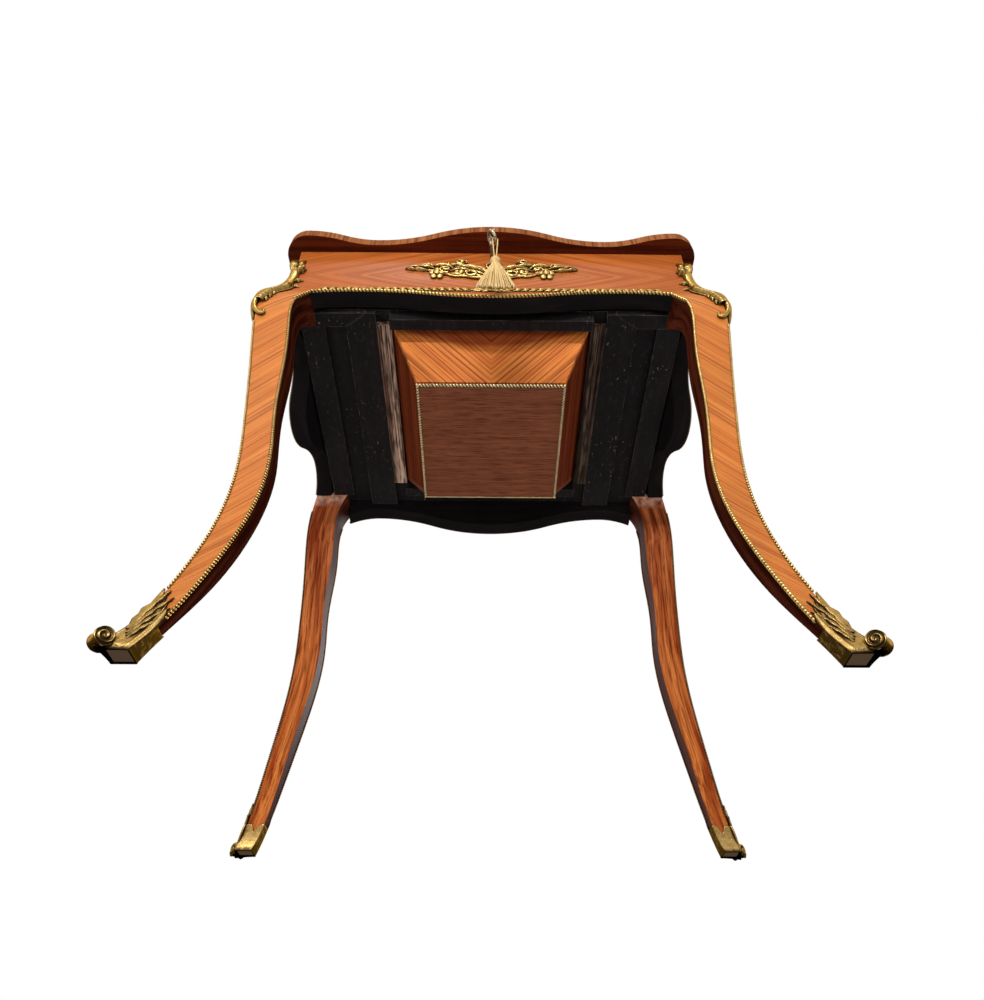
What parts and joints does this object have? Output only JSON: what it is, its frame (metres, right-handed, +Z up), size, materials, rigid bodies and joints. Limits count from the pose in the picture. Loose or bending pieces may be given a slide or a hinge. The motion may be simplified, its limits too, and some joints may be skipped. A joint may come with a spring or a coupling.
{
  "type": "work table",
  "caption": "Cabriole-legged work table with a swelling veneered case, hinged serpentine lid, hanging well, gilt mounts, lock and tasselled key.",
  "frame": {"origin": "on the floor, in the middle between the four legs", "axes": "+Z up, -Y to the front where the lock is, +X to the right of someone facing the front from -Y"},
  "size_m": [0.636, 0.4972, 0.74],
  "materials": {
    "kingwood": "polished veneer",
    "lid_veneer": "polished veneer",
    "stained_wood": "black stain",
    "bare_pine": "bare, sawn",
    "well_veneer": "polished veneer",
    "gilt": "antique gilt, chased",
    "hinge_brass": "dull brass",
    "lock_steel": "worn steel",
    "key_steel": "worn steel",
    "silk": "silk thread"
  },
  "bodies": {
    "case": {"leg_front_left": "kingwood", "sabot_front_left": "gilt", "chute_front_left": "gilt", "leg_front_right": "kingwood", "sabot_front_right": "gilt", "chute_front_right": "gilt", "leg_rear_left": "kingwood", "sabot_rear_left": "gilt", "chute_rear_left": "gilt", "leg_rear_right": "kingwood", "sabot_rear_right": "gilt", "chute_rear_right": "gilt", "panel_left": "kingwood", "panel_right": "kingwood", "panel_front": "kingwood", "panel_back": "kingwood", "apron_bead_left": "gilt", "apron_bead_right": "gilt", "apron_bead_front": "gilt", "apron_bead_back": "gilt", "leg_corner_beads": "gilt", "leg_inner_beads": "gilt", "frieze_strip": "gilt", "escutcheon": "gilt", "well_bead": "gilt", "hinge_case_leaf_left": "hinge_brass", "hinge_pin_left": "hinge_brass", "floor_left": "stained_wood", "side_board_left": "stained_wood", "bearer_left": "stained_wood", "corner_block_left": "stained_wood", "well_rail_left": "bare_pine", "partition_left": "well_veneer", "hinge_case_leaf_right": "hinge_brass", "hinge_pin_right": "hinge_brass", "floor_right": "stained_wood", "side_board_right": "stained_wood", "bearer_right": "stained_wood", "corner_block_right": "stained_wood", "well_rail_right": "bare_pine", "partition_right": "well_veneer", "floor_front": "stained_wood", "floor_back": "stained_wood", "front_bar": "stained_wood", "rear_bar": "stained_wood", "well_front": "well_veneer", "well_back": "well_veneer", "well_left": "well_veneer", "well_right": "well_veneer", "well_bottom": "well_veneer", "lock_case": "lock_steel"},
    "lid": {"lid": "lid_veneer", "hinge_lid_leaf_left": "hinge_brass", "hinge_lid_leaf_right": "hinge_brass", "link_plate": "lock_steel"},
    "key": {"key": "key_steel"},
    "bolt": {"lock_bolt": "lock_steel"},
    "tassel": {"tassel_cord": "silk", "tassel_head": "silk", "tassel_skirt": "silk"}
  },
  "joints": [
    {"name": "lid_hinge", "type": "hinge", "parent": "case", "child": "lid", "pos_m": [0, 0.2094, 0.7197], "axis": [-1, 0, 0], "range_deg": [0, 95]},
    {"name": "key_turn", "type": "hinge", "parent": "case", "child": "key", "pos_m": [0, -0.248, 0.676], "axis": [0, -1, 0], "range_deg": [-30, 60]},
    {"name": "bolt_slide", "type": "slide", "parent": "case", "child": "bolt", "axis": [1, 0, 0], "range_m": [-0.005, 0.0096]},
    {"name": "tassel_swing", "type": "hinge", "parent": "key", "child": "tassel", "pos_m": [0.00475, -0.248, 0.66777], "axis": [0, -1, 0], "range_deg": [-62, 32]}
  ],
  "couplings": [
    {"joint": "bolt_slide", "follows": "key_turn", "m_per_rad": 0.0089127},
    {"joint": "tassel_swing", "follows": "key_turn", "ratio": -1}
  ]
}
